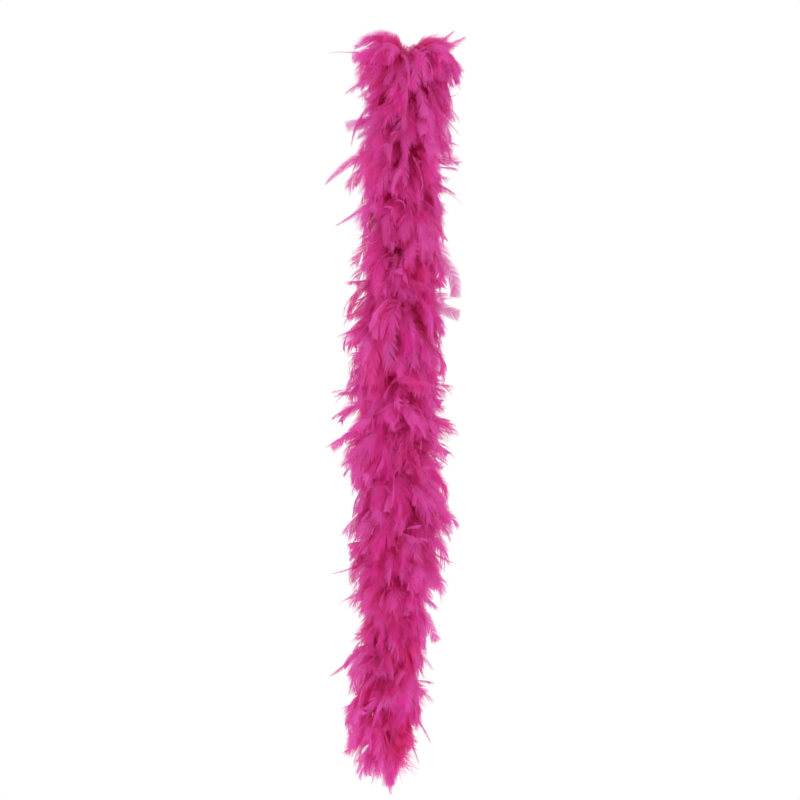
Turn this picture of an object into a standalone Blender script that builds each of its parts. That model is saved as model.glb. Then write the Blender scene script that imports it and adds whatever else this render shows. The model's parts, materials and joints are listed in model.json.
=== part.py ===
"""Feather boa hung by one end from its string loop.

A cotton core cord carries whorls of dyed feathers. Each whorl's quills lie round the cord in a short sleeve,
a thread is wound over the sleeve, and the quills' own down fills the space between one whorl and the next.
The real cord bends anywhere. Here it is cut into equal links, hinged in turn about X, Y, -X and -Y.

Metres, +Z up. The origin is the point where the loop bears on its hook, and the boa hangs down -Z.
"""

import math

import bmesh
import bpy
from mathutils import Vector

# ---- Driving dimensions ----------------------------------------------------------------------------------

WHORLS = 13  # one whorl, one thread winding, one ball of down and one link of cord in each segment
FIRST_WHORL_Z = -0.046
WHORL_SPACING = 0.131
HINGE_ABOVE_WHORL = 0.018
LARGEST_BEND = math.radians(45)

GAP = 0.00035  # between pieces that touch on the real boa

CORD_RADIUS = 0.00175
CORD_TOP_Z = -0.0235
CORD_TAIL = 0.105  # of the last link, below its whorl
CORD_SIDES = 8

LOOP_CORD_RADIUS = 0.001
LOOP_RADIUS = 0.007
LOOP_LEG_X = 0.00135
LOOP_SHOULDER = (0.00355, -0.0140)  # X and Z where each leg leaves the round of the loop
LOOP_LEGS_MEET_Z = -0.0170
LOOP_LEGS_END_Z = -0.0225

WHIPPING_OVER_LEGS = 0.0055  # its top over the legs' ends
WHIPPING_TURNS = 4
WHIPPING_GROOVE = 0.0006  # thickness between two turns of thread, and over a turn
WHIPPING_RIDGE = 0.0011

SLEEVE_OUTER_RADIUS = 0.0040
SLEEVE_ABOVE_WHORL = 0.007  # bare quills, under the thread
SLEEVE_BELOW_WHORL = 0.015
FEATHERS_IN_TIER = 8
FEATHER_ROOT_HEIGHT = 0.006
UPPER_TIER_Z = 0.0005  # top of the roots, over the whorl's height
LOWER_TIER_Z = -0.0075
CROWN_TIER_Z = 0.0135

FEATHER_LENGTH = 0.155
FEATHER_WIDTH = 0.027
FEATHER_THICKNESS = 0.0013
UPPER_SLOPES = (12, -74)  # degrees, of the quill where it leaves the cord and of the tip
LOWER_SLOPES = (-20, -86)
TAIL_SLOPES = (-34, -88)  # of the last whorl

THREAD_RADIUS = 0.0004
THREAD_PITCH = 0.0018
THREAD_TURNS = 3
THREAD_POINTS_PER_TURN = 9

DOWN_RADIUS = 0.034
DOWN_BELOW_WHORL = 0.020
DOWN_LENGTH = 0.080
DOWN_SIDES = 12
LAST_TUFT_SHARE = 0.5  # of the other tufts' radius

KNOT_RADIUS = 0.0048
KNOT_SOCKET_DEPTH = 0.0045
KNOT_LATITUDES = (52, 15, -25, -62)  # degrees, of the corners of its rounded outline

# ---- Colours, linear RGB ---------------------------------------------------------------------------------

FEATHER_COLOURS = ((0.54, 0.022, 0.23), (0.60, 0.035, 0.27), (0.48, 0.018, 0.20))
DOWN_COLOUR = (0.50, 0.012, 0.12)
CORD_COLOUR = (0.42, 0.012, 0.13)
THREAD_COLOUR = (0.46, 0.015, 0.17)


def whorl_z(number):
    """Height of the middle of a whorl's sleeve. Whorls are numbered from 1 at the top."""
    return FIRST_WHORL_Z - WHORL_SPACING * (number - 1)


def hinge_z(number):
    """Height of the hinge at the top of segment 2 and of each one below it."""
    return whorl_z(number) + HINGE_ABOVE_WHORL


def sleeve_top(number):
    """The first sleeve is taller, for the crown feathers."""
    if number == 1:
        return whorl_z(number) + CROWN_TIER_Z + 0.001
    return whorl_z(number) + SLEEVE_ABOVE_WHORL


def around_corners(radius, sides):
    """Radius of the polygon whose flats clear a circle of the given radius."""
    return radius / math.cos(math.pi / sides)


# ---- Building blocks -------------------------------------------------------------------------------------


def clear_scene():
    for item in list(bpy.data.objects):
        bpy.data.objects.remove(item, do_unlink=True)


def give_material(item, colour, roughness):
    material = bpy.data.materials.new(item.name)
    material.use_nodes = True
    shader = material.node_tree.nodes["Principled BSDF"]
    shader.inputs["Base Color"].default_value = (*colour, 1.0)
    shader.inputs["Roughness"].default_value = roughness
    shader.inputs["Metallic"].default_value = 0.0
    item.data.materials.append(material)


def add_object(name, data, parent, colour, roughness):
    item = bpy.data.objects.new(name, data)
    bpy.context.scene.collection.objects.link(item)
    item.parent = parent
    give_material(item, colour, roughness)
    return item


def mesh_from(bm, name):
    bmesh.ops.recalc_face_normals(bm, faces=bm.faces)
    mesh = bpy.data.meshes.new(name)
    bm.to_mesh(mesh)
    bm.free()
    mesh.shade_smooth()
    mesh.set_sharp_from_angle(angle=math.radians(35))
    return mesh


def ring_of(bm, radius, z, sides, turn=0.0):
    angles = [turn + math.tau * i / sides for i in range(sides)]
    return [bm.verts.new((radius * math.cos(a), radius * math.sin(a), z)) for a in angles]


def skin_rings(bm, first, second):
    count = len(first)
    for i in range(count):
        following = (i + 1) % count
        bm.faces.new((first[i], first[following], second[following], second[i]))


def turned_solid(name, profile, sides):
    """A closed solid on the Z axis. A profile that starts and ends on the axis is solid, any other one is a
    ring whose last point joins its first."""
    bm = bmesh.new()
    solid = profile[0][0] == 0
    stations = profile[1:-1] if solid else profile
    rings = [ring_of(bm, radius, z, sides) for radius, z in stations]
    for upper, lower in zip(rings, rings[1:]):
        skin_rings(bm, upper, lower)
    if solid:
        for (_, z), rim in ((profile[0], rings[0]), (profile[-1], rings[-1])):
            pole = bm.verts.new((0, 0, z))
            for i in range(sides):
                bm.faces.new((pole, rim[i], rim[(i + 1) % sides]))
    else:
        skin_rings(bm, rings[-1], rings[0])
    return mesh_from(bm, name)


# ---- Core cord -------------------------------------------------------------------------------------------


def rounded_end(z, upward):
    """Profile points of a half-round end whose tip is at z, from the tip to the full radius."""
    points = []
    for degrees in (0, 40, 90):
        angle = math.radians(degrees)
        depth = CORD_RADIUS * (1 - math.cos(angle))
        points.append((CORD_RADIUS * math.sin(angle), z - depth if upward else z + depth))
    return points


def end_to_hinge():
    """Room between a link's round end and the hinge, so that two links clear each other when fully bent."""
    centre_to_hinge = (CORD_RADIUS + GAP / 2) / math.cos(LARGEST_BEND / 2)
    return centre_to_hinge - CORD_RADIUS


def core_cord(number, parent):
    top = CORD_TOP_Z if number == 1 else hinge_z(number) - end_to_hinge()
    if number == WHORLS:
        bottom = whorl_z(number) - CORD_TAIL
    else:
        bottom = hinge_z(number + 1) + end_to_hinge()
    profile = rounded_end(top, True) + rounded_end(bottom, False)[::-1]
    name = f"core_cord_{number:02d}"
    add_object(name, turned_solid(name, profile, CORD_SIDES), parent, CORD_COLOUR, 0.9)


# ---- Feathers --------------------------------------------------------------------------------------------


class Feather:
    """One feather's length, the slopes of its two ends in degrees, its width and how square its tip is."""

    def __init__(self, length, slopes, width=FEATHER_WIDTH, tip_share=0.6):
        self.length = length
        self.rise, self.droop = (math.radians(slope) for slope in slopes)
        self.width = width
        self.tip_share = tip_share

    def sections(self):
        """Distance out, height, slope, width and thickness at each station beyond the root."""
        bend = (self.droop - self.rise) / self.length
        for share, width_share, thickness_share in (
            (0.3, 0.55, 1.0),
            (0.7, 1.0, 0.8),
            (1.0, self.tip_share, 0.5),
        ):
            slope = self.rise + (self.droop - self.rise) * share
            out = (math.sin(slope) - math.sin(self.rise)) / bend
            height = (math.cos(self.rise) - math.cos(slope)) / bend
            yield out, height, slope, self.width * width_share, FEATHER_THICKNESS * thickness_share


def grow_feather(bm, root, heading, root_z, feather):
    """Extend the four root corners along the feather's curve, and close the tip. Counted anticlockwise from
    below, they are the lower two and then the upper two."""
    outward = Vector((math.cos(heading), math.sin(heading), 0))
    sideways = Vector((-math.sin(heading), math.cos(heading), 0))
    root_radius = SLEEVE_OUTER_RADIUS * math.cos(math.pi / FEATHERS_IN_TIER)
    ring = root
    for out, height, slope, width, thickness in feather.sections():
        centre = outward * (root_radius + out) + Vector((0, 0, root_z + height))
        across = sideways * width / 2
        through = (Vector((0, 0, math.cos(slope))) - outward * math.sin(slope)) * thickness / 2
        corners = (
            centre - across - through,
            centre + across - through,
            centre + across + through,
            centre - across + through,
        )
        following = [bm.verts.new(corner) for corner in corners]
        skin_rings(bm, ring, following)
        ring = following
    bm.faces.new(ring)


def tier_turn(turn, tier):
    """Each tier is turned by half a feather from the one above, so its feathers hang in the gaps."""
    return turn + tier * math.pi / FEATHERS_IN_TIER


def whorl_mesh(name, top, bottom, tiers, turn):
    """A sleeve round the cord, from top to bottom, with tiers of feathers growing out of its side.

    tiers lists (height of the roots' upper edge, feathers), from the top down. A tier's feathers stand side
    by side at their roots, so the sleeve has as many sides as a tier has feathers.
    """
    sides = FEATHERS_IN_TIER
    bm = bmesh.new()
    bore = around_corners(CORD_RADIUS + GAP, sides)
    outer = SLEEVE_OUTER_RADIUS
    last_turn = tier_turn(turn, len(tiers) - 1)
    bore_top = ring_of(bm, bore, top, sides, turn)
    bore_bottom = ring_of(bm, bore, bottom, sides, turn)
    skin_rings(bm, bore_bottom, bore_top)
    ring = ring_of(bm, outer, top, sides, turn)
    skin_rings(bm, bore_top, ring)
    for tier, (root_top, feathers) in enumerate(tiers):
        start = tier_turn(turn, tier)
        upper = ring_of(bm, outer, root_top, sides, start)
        lower = ring_of(bm, outer, root_top - FEATHER_ROOT_HEIGHT, sides, start)
        skin_rings(bm, ring, upper)
        for i, feather in enumerate(feathers):
            following = (i + 1) % sides
            heading = start + math.tau * (i + 0.5) / sides
            root = [lower[i], lower[following], upper[following], upper[i]]
            grow_feather(bm, root, heading, root_top - FEATHER_ROOT_HEIGHT / 2, feather)
        ring = lower
    last = ring_of(bm, outer, bottom, sides, last_turn)
    skin_rings(bm, ring, last)
    skin_rings(bm, last, bore_bottom)
    return mesh_from(bm, name)


def uneven(number, place, low, high):
    """A value between low and high that differs from feather to feather and is the same in every run."""
    share = (number * 0.754877666 + place * 0.569840291) % 1.0
    return low + (high - low) * share


def drooping_tier(number, tier, slopes):
    """Feathers of uneven length and slope. Two in three have the squared tip of a trimmed flat, and one is
    pointed."""
    feathers = []
    for place in range(FEATHERS_IN_TIER):
        seed = place + FEATHERS_IN_TIER * tier
        length = FEATHER_LENGTH * uneven(number, seed, 0.84, 1.06)
        rise = slopes[0] + uneven(number, 3 * seed, -6, 6)
        tip_share = 0.62 if (number + seed) % 3 else 0.12
        feathers.append(Feather(length, (rise, slopes[1]), tip_share=tip_share))
    return feathers


def crown_tier(turn):
    """The topmost feathers stand up on the left and right of the loop and lie lower in front and behind."""
    feathers = []
    for place in range(FEATHERS_IN_TIER):
        heading = turn + math.tau * (place + 0.5) / FEATHERS_IN_TIER
        sideways = abs(math.cos(heading))
        slopes = (25 + 38 * sideways, -50 + 55 * sideways)
        feathers.append(Feather(FEATHER_LENGTH * uneven(7, place, 0.82, 0.98), slopes, tip_share=0.4))
    return feathers


# Feathers that stand out furthest: whorl number, heading in degrees from +X towards +Y, and how far their
# tips reach from the cord.
STRAYS = (
    (1, 180, 0.178),
    (1, 0, 0.135),
    (2, 180, 0.180),
    (3, 0, 0.140),
    (4, 90, 0.138),
    (5, 0, 0.145),
    (5, 270, 0.138),
    (7, 180, 0.160),
    (8, 0, 0.146),
    (9, 90, 0.138),
    (10, 180, 0.145),
    (10, 270, 0.138),
)
STRAY_SLOPES = (10, -42)


def straying_feather(reach):
    """A long pointed feather whose tip ends at the given distance from the cord."""
    rise, droop = (math.radians(slope) for slope in STRAY_SLOPES)
    out_per_length = (math.sin(droop) - math.sin(rise)) / (droop - rise)
    length = (reach - SLEEVE_OUTER_RADIUS) / out_per_length
    return Feather(length, STRAY_SLOPES, FEATHER_WIDTH * 0.7, tip_share=0.1)


def set_strays(number, feathers, turn):
    """Put straying feathers in the places of the tier that point nearest to their headings."""
    sector = math.tau / FEATHERS_IN_TIER
    for whorl, degrees, reach in STRAYS:
        if whorl == number:
            place = round((math.radians(degrees) - turn) / sector - 0.5)
            off_heading = turn + sector * (place + 0.5) - math.radians(degrees)
            feathers[place % FEATHERS_IN_TIER] = straying_feather(reach / math.cos(off_heading))


def feather_whorl(number, parent):
    """One whorl. The first has a crown tier above its thread, and the last hangs close to the cord."""
    turn = math.radians(137.5 * number)
    middle = whorl_z(number)
    first_drooping = 1 if number == 1 else 0
    upper_slopes = TAIL_SLOPES if number == WHORLS else UPPER_SLOPES
    lower_slopes = TAIL_SLOPES if number == WHORLS else LOWER_SLOPES
    upper = drooping_tier(number, 0, upper_slopes)
    set_strays(number, upper, tier_turn(turn, first_drooping))
    tiers = [(middle + UPPER_TIER_Z, upper), (middle + LOWER_TIER_Z, drooping_tier(number, 1, lower_slopes))]
    if number == 1:
        tiers.insert(0, (middle + CROWN_TIER_Z, crown_tier(turn)))
    name = f"feather_whorl_{number:02d}"
    mesh = whorl_mesh(name, sleeve_top(number), middle - SLEEVE_BELOW_WHORL, tiers, turn)
    add_object(name, mesh, parent, FEATHER_COLOURS[number % len(FEATHER_COLOURS)], 0.75)


# ---- Thread ----------------------------------------------------------------------------------------------


def winding_mesh(name, inner_radius, top, turns, pitch):
    """Turns of thread wound downwards on a sleeve: a square-cornered strand swept along a helix."""
    bm = bmesh.new()
    steps = turns * THREAD_POINTS_PER_TURN
    centre_radius = around_corners(inner_radius, THREAD_POINTS_PER_TURN) + THREAD_RADIUS
    rings = []
    for step in range(steps + 1):
        angle = math.tau * step / THREAD_POINTS_PER_TURN
        outward = Vector((math.cos(angle), math.sin(angle), 0))
        centre = outward * centre_radius + Vector((0, 0, top - THREAD_RADIUS - pitch * angle / math.tau))
        up = Vector((0, 0, THREAD_RADIUS))
        side = outward * THREAD_RADIUS
        rings.append([bm.verts.new(centre + offset) for offset in (side, up, -side, -up)])
    for one, following in zip(rings, rings[1:]):
        skin_rings(bm, one, following)
    bm.faces.new(rings[0])
    bm.faces.new(rings[-1])
    return mesh_from(bm, name)


def binding_thread(number, parent):
    name = f"binding_thread_{number:02d}"
    top = whorl_z(number) + SLEEVE_ABOVE_WHORL - GAP
    mesh = winding_mesh(name, SLEEVE_OUTER_RADIUS + GAP, top, THREAD_TURNS, THREAD_PITCH)
    add_object(name, mesh, parent, THREAD_COLOUR, 0.8)


# ---- Down ------------------------------------------------------------------------------------------------


def down_tuft(number, parent):
    """The quills' soft lower barbs, which fill a long rounded body between this whorl and the next."""
    name = f"down_tuft_{number:02d}"
    radius = DOWN_RADIUS * (LAST_TUFT_SHARE if number == WHORLS else 1.0)
    top = whorl_z(number) - DOWN_BELOW_WHORL
    bore = around_corners(CORD_RADIUS + GAP, DOWN_SIDES)
    profile = [(bore, top)]
    for share in (0.04, 0.22, 0.5, 0.78, 0.96):
        swell = math.sqrt(1 - (2 * share - 1) ** 2)
        profile.append((radius * swell, top - DOWN_LENGTH * share))
    profile.append((bore, top - DOWN_LENGTH))
    add_object(name, turned_solid(name, profile, DOWN_SIDES), parent, DOWN_COLOUR, 0.95)


# ---- Ends ------------------------------------------------------------------------------------------------


def hang_loop(parent):
    """A bight of cord over the hook, with both legs held beside each other in the top whipping."""
    name = "hang_loop"
    centre_z = -LOOP_RADIUS
    bow = LOOP_RADIUS + LOOP_CORD_RADIUS
    points = []
    for degrees in range(-20, 201, 20):
        angle = math.radians(degrees)
        points.append((bow * math.cos(angle), centre_z + bow * math.sin(angle)))
    legs = [LOOP_SHOULDER, (LOOP_LEG_X, LOOP_LEGS_MEET_Z), (LOOP_LEG_X, LOOP_LEGS_END_Z)]
    right = legs[::-1]
    left = [(-x, z) for x, z in legs]
    curve = bpy.data.curves.new(name, "CURVE")
    curve.dimensions = "3D"
    curve.bevel_depth = LOOP_CORD_RADIUS
    curve.bevel_resolution = 2
    curve.render_resolution_u = 0
    curve.use_fill_caps = True
    spline = curve.splines.new("POLY")
    route = right + points + left
    spline.points.add(len(route) - 1)
    for point, (x, z) in zip(spline.points, route):
        point.co = (x, 0, z, 1)
    add_object(name, curve, parent, CORD_COLOUR, 0.9)


def top_whipping(parent):
    """Thread served over the loop's legs and the top of the core cord."""
    name = "top_whipping"
    inside = LOOP_LEG_X + LOOP_CORD_RADIUS + GAP
    bore = around_corners(inside, DOWN_SIDES)
    top = LOOP_LEGS_END_Z + WHIPPING_OVER_LEGS
    bottom = sleeve_top(1) + GAP
    profile = [(bore, top)]
    pitch = (top - bottom) / WHIPPING_TURNS
    for turn in range(WHIPPING_TURNS):
        profile.append((bore + WHIPPING_GROOVE, top - pitch * (turn + 0.05)))
        profile.append((bore + WHIPPING_RIDGE, top - pitch * (turn + 0.5)))
    profile.append((bore + WHIPPING_GROOVE, bottom))
    profile.append((bore, bottom))
    add_object(name, turned_solid(name, profile, DOWN_SIDES), parent, THREAD_COLOUR, 0.8)


def end_knot(parent):
    """The stopper knot on the tail of the cord, with a socket for the cord's end."""
    name = "end_knot"
    sides = DOWN_SIDES
    cord_end = whorl_z(WHORLS) - CORD_TAIL
    bore = around_corners(CORD_RADIUS + GAP, sides)
    top = cord_end + KNOT_SOCKET_DEPTH
    floor = cord_end - GAP
    middle = top - KNOT_RADIUS
    bm = bmesh.new()
    socket = [ring_of(bm, bore, top, sides), ring_of(bm, bore, floor, sides)]
    outside = []
    for degrees in KNOT_LATITUDES:
        angle = math.radians(degrees)
        height = middle + KNOT_RADIUS * math.sin(angle)
        outside.append(ring_of(bm, KNOT_RADIUS * math.cos(angle), height, sides))
    skin_rings(bm, socket[0], socket[1])
    bm.faces.new(socket[1])
    skin_rings(bm, socket[0], outside[0])
    for upper, lower in zip(outside, outside[1:]):
        skin_rings(bm, upper, lower)
    bm.faces.new(outside[-1])
    add_object(name, mesh_from(bm, name), parent, CORD_COLOUR, 0.9)


# ---- Assembly --------------------------------------------------------------------------------------------


def pivot_z(number):
    """Height of a segment's pivot: the loop's bearing point for the first, its own hinge for any other."""
    return 0.0 if number == 1 else hinge_z(number)


def segment_pivot(number, parent):
    """An empty on the segment's hinge. Its children are placed from the loop's origin, so it carries them
    with the inverse of its own place."""
    pivot = bpy.data.objects.new(f"pivot_{number:02d}", None)
    bpy.context.scene.collection.objects.link(pivot)
    pivot.parent = parent
    above = 0.0 if parent is None else pivot_z(number - 1)
    pivot.location = (0, 0, pivot_z(number) - above)
    return pivot


def build():
    clear_scene()
    pivot = None
    for number in range(1, WHORLS + 1):
        pivot = segment_pivot(number, pivot)
        before = set(bpy.data.objects)
        core_cord(number, pivot)
        feather_whorl(number, pivot)
        binding_thread(number, pivot)
        down_tuft(number, pivot)
        if number == 1:
            hang_loop(pivot)
            top_whipping(pivot)
        if number == WHORLS:
            end_knot(pivot)
        bpy.context.view_layer.update()
        for piece in set(bpy.data.objects) - before:
            piece.matrix_parent_inverse = pivot.matrix_world.inverted()


build()
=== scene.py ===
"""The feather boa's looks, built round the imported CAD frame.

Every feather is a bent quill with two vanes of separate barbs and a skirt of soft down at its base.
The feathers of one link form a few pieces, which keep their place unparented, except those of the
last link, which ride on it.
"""

import json
import math

import bpy
import numpy as np
from mathutils import Matrix, Vector


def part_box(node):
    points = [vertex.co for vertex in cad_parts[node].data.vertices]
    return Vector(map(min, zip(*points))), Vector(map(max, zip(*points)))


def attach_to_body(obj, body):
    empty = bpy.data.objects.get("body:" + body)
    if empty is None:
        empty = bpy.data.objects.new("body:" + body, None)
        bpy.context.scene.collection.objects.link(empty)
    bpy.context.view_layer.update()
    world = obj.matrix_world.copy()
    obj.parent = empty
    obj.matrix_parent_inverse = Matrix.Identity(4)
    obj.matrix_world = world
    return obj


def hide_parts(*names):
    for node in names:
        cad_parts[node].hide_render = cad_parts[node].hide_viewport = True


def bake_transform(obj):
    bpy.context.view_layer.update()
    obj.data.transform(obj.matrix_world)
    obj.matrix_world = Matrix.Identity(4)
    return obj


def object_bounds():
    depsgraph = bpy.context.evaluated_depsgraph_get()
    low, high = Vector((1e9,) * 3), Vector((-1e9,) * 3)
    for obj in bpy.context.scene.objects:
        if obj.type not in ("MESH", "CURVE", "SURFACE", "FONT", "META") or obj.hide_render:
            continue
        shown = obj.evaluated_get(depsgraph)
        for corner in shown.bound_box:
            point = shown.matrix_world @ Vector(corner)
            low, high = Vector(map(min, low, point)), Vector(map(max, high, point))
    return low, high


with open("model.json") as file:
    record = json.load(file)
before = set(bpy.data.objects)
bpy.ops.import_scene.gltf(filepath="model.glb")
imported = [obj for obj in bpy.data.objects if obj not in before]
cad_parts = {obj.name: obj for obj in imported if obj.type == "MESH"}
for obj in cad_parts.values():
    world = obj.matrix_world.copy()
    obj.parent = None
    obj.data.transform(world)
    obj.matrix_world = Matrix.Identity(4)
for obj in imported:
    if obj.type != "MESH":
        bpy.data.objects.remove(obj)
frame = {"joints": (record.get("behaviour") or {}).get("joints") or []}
CAD_BOX = [list(corner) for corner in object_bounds()]

# ---- Sizes in metres ------------------------------------------------------------------------------------

HINGES = [joint["pos_m"][2] for joint in frame["joints"]]
LINK = HINGES[0] - HINGES[1]
BODIES = [f"segment_{number:02d}" for number in range(1, len(HINGES) + 2)]
CORD_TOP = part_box("core_cord_01")[1].z
CORD_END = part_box(f"core_cord_{len(BODIES):02d}")[0].z
CORD_RADIUS = 0.00175
CORD_PITCH = 0.0095
CORD_STEP = 0.0011  # between rings of the mesh
BARE_TAIL = 0.030  # of the cord, under the last turn of thread
THREAD_RADIUS = 0.00028
THREAD_PITCH = 0.0032
THREAD_STEP = 0.0004
WOUND_RADIUS = 0.0036  # from the cord's middle to the thread's
ROOT_RADIUS = 0.0034  # from the cord's middle to the quills' roots
LOOP_STRING = 0.0010  # radius
LOOP_PITCH = 0.0042
LOOP_FOOT = 0.00135  # from the cord's middle to the middle of each leg's foot
WHIPPING_THREAD = 0.00032  # radius
KNOT_PITCH = 0.006
FRAYED_ENDS = 9
FRAYED_LENGTHS = (0.006, 0.011)
FRAYED_SPREAD = 0.003

FEATHERS = 1560
FEATHER_LENGTHS = (0.100, 0.155)
INNER_FEATHERS = 1020
INNER_LENGTHS = (0.070, 0.110)
CROWN_FEATHERS = 160
CROWN_LENGTHS = (0.105, 0.158)
TUFT = 3  # feathers that lie together
TURN = math.radians(137.5)  # round the cord from one tuft to the next
STANDING_SHARE = 0.24  # of the tufts, that stand out and don't hang
FULL_SHARE = 0.40  # of the tufts, that reach the outline
QUILL_POINTS = 14  # along each quill
QUILL_SIDES = 4
LOWEST_TIP = CAD_BOX[0][2] + 0.024  # for the feathers of the coat and the crown
TAIL_FROM = -1.600  # tips lower than this are mostly on pointed feathers

CORE_FLUFF = 1000  # strands of down round each link
DOWN_FROM = 0.05  # share of the quill's length that is bare at its root
DOWN_PAST = 0.05  # share that the down runs on past the vane's lower end
DOWN_REACH = (0.014, 0.028)
FLUFF_LENGTHS = (0.034, 0.078)

CORE_SHADE_REACH = 0.10  # from the cord, within which a painted shade makes the colour redder
CORE_SHADE_FADE = 0.10  # above the cord's end, over which that painted shade fades out
EASED_FROM = (0.138, 0.122)  # points further out than this, to +X and in depth, are drawn in
EASED_SHARE = (0.50, 0.45)  # of what is past it, that stays

# How far the coat stands out from the cord on each side: height, left, right.
OUTLINE = (
    (0.060, 0.115, 0.108),
    (0.000, 0.134, 0.120),
    (-0.050, 0.138, 0.124),
    (-0.090, 0.120, 0.112),
    (-0.150, 0.112, 0.110),
    (-0.220, 0.116, 0.106),
    (-0.300, 0.122, 0.116),
    (-0.350, 0.116, 0.114),
    (-0.430, 0.090, 0.098),
    (-0.500, 0.110, 0.110),
    (-0.570, 0.128, 0.108),
    (-0.640, 0.128, 0.104),
    (-0.720, 0.150, 0.106),
    (-0.800, 0.150, 0.114),
    (-0.870, 0.158, 0.128),
    (-0.930, 0.158, 0.128),
    (-0.990, 0.120, 0.112),
    (-1.060, 0.146, 0.126),
    (-1.120, 0.122, 0.130),
    (-1.190, 0.100, 0.124),
    (-1.260, 0.112, 0.128),
    (-1.320, 0.100, 0.108),
    (-1.380, 0.070, 0.070),
    (-1.440, 0.096, 0.084),
    (-1.500, 0.122, 0.092),
    (-1.570, 0.136, 0.088),
    (-1.630, 0.100, 0.056),
    (-1.680, 0.092, 0.034),
    (-1.720, 0.072, 0.016),
    (-1.770, 0.030, 0.004),
)


# ---- Camera ---------------------------------------------------------------------------------------------

LENS = 85.0
SENSOR = 36.0
SEEN_WIDTH = 1.907  # of the picture, at the cord
ROLL = math.radians(1.55)
AIM = Vector((0.0034, 0.0, -0.8298))


def add_camera():
    """A level view from the front through a long lens, rolled so that the boa leans a little."""
    data = bpy.data.cameras.new("camera")
    data.lens = LENS
    data.sensor_width = SENSOR
    data.clip_end = 100.0
    camera = bpy.data.objects.new("camera", data)
    bpy.context.scene.collection.objects.link(camera)
    right = Vector((math.cos(ROLL), 0, math.sin(ROLL)))
    up = Vector((-math.sin(ROLL), 0, math.cos(ROLL)))
    back = right.cross(up)
    away = SEEN_WIDTH * LENS / SENSOR
    turned = Matrix((right, up, back)).transposed().to_4x4()
    camera.matrix_world = Matrix.Translation(AIM + back * away) @ turned
    bpy.context.scene.camera = camera


add_camera()


# ---- Rows of points -------------------------------------------------------------------------------------


def unit(vectors):
    """The vectors, each brought to a length of 1."""
    return vectors / np.maximum(np.linalg.norm(vectors, axis=-1, keepdims=True), 1e-12)


def blend_values(a, b, share):
    return a + (b - a) * share


def at_shares(rows, shares):
    """Values of each row (F, K, 3) at shares (F, M) of its length."""
    last = rows.shape[1] - 1
    place = np.clip(shares, 0, 1) * last
    low = np.minimum(place.astype(int), last - 1)
    part = (place - low)[..., None]
    below = np.take_along_axis(rows, low[..., None], axis=1)
    above = np.take_along_axis(rows, (low + 1)[..., None], axis=1)
    return below + (above - below) * part


def drawn_in(values, start, share, way):
    """Values past start, on the plus or the minus side, keep only this share of what is past it."""
    past = np.maximum(values * way - start, 0)
    return values - way * past * (1 - share)


class Piece:
    """Strips and tubes gathered for one mesh, with the numbers that its material reads."""

    def __init__(self):
        self.points = []
        self.faces = []
        self.marks = []
        self.count = 0

    def add(self, grid, closed, marks):
        """grid is (rows, steps, across, 3). closed joins the last column to the first. marks are three
        numbers for each point: the feather's tint, the barb's shade and the place along the feather."""
        rows, steps, across, _ = grid.shape
        index = np.arange(rows * steps * across).reshape(rows, steps, across)
        beside = np.roll(index, -1, axis=2) if closed else index[:, :, 1:]
        own = index if closed else index[:, :, :-1]
        quads = np.stack((own[:, :-1], beside[:, :-1], beside[:, 1:], own[:, 1:]), axis=-1)
        self.faces.append(quads.reshape(-1, 4) + self.count)
        self.points.append(grid.reshape(-1, 3))
        self.marks.append(np.broadcast_to(marks, (rows, steps, across, 3)).reshape(-1, 3))
        self.count += rows * steps * across

    def build(self, name, material, slot):
        """The mesh object, eased in where it stands out furthest, with its marks and a mask of painted
        shade that is strongest beside the cord."""
        points = np.concatenate(self.points)
        points[:, 0] = drawn_in(points[:, 0], EASED_FROM[0], EASED_SHARE[0], 1)
        points[:, 1] = drawn_in(points[:, 1], EASED_FROM[1], EASED_SHARE[1], 1)
        points[:, 1] = drawn_in(points[:, 1], EASED_FROM[1], EASED_SHARE[1], -1)
        faces = np.concatenate(self.faces)
        marks = np.concatenate(self.marks)
        mesh = bpy.data.meshes.new(name)
        mesh.vertices.add(len(points))
        mesh.vertices.foreach_set("co", points.astype(np.float32).ravel())
        mesh.loops.add(faces.size)
        mesh.loops.foreach_set("vertex_index", faces.astype(np.int32).ravel())
        mesh.polygons.add(len(faces))
        mesh.polygons.foreach_set("loop_start", np.arange(0, faces.size, 4, dtype=np.int32))
        mesh.polygons.foreach_set("use_smooth", np.ones(len(faces), bool))
        mesh.update(calc_edges=True)
        for column, mark in enumerate(("tint", "shade", "along")):
            layer = mesh.attributes.new(mark, "FLOAT", "POINT")
            layer.data.foreach_set("value", marks[:, column].astype(np.float32))
        # Painted shade: strongest at the cord, gone further out and faded over the tail. The material
        # paints the colour redder with it, for the saturated shade deep among the feathers.
        core_shade_mask = np.clip(1 - np.hypot(points[:, 0], points[:, 1]) / CORE_SHADE_REACH, 0, 1)
        core_shade_mask = core_shade_mask * np.clip((points[:, 2] - CORD_END) / CORE_SHADE_FADE, 0, 1)
        layer = mesh.attributes.new("painted_core_shade", "FLOAT", "POINT")
        layer.data.foreach_set("value", core_shade_mask.astype(np.float32))
        mesh.materials.append(material)
        made = bpy.data.objects.new(name, mesh)
        bpy.context.scene.collection.objects.link(made)
        return made


# ---- Quills ---------------------------------------------------------------------------------------------


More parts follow.
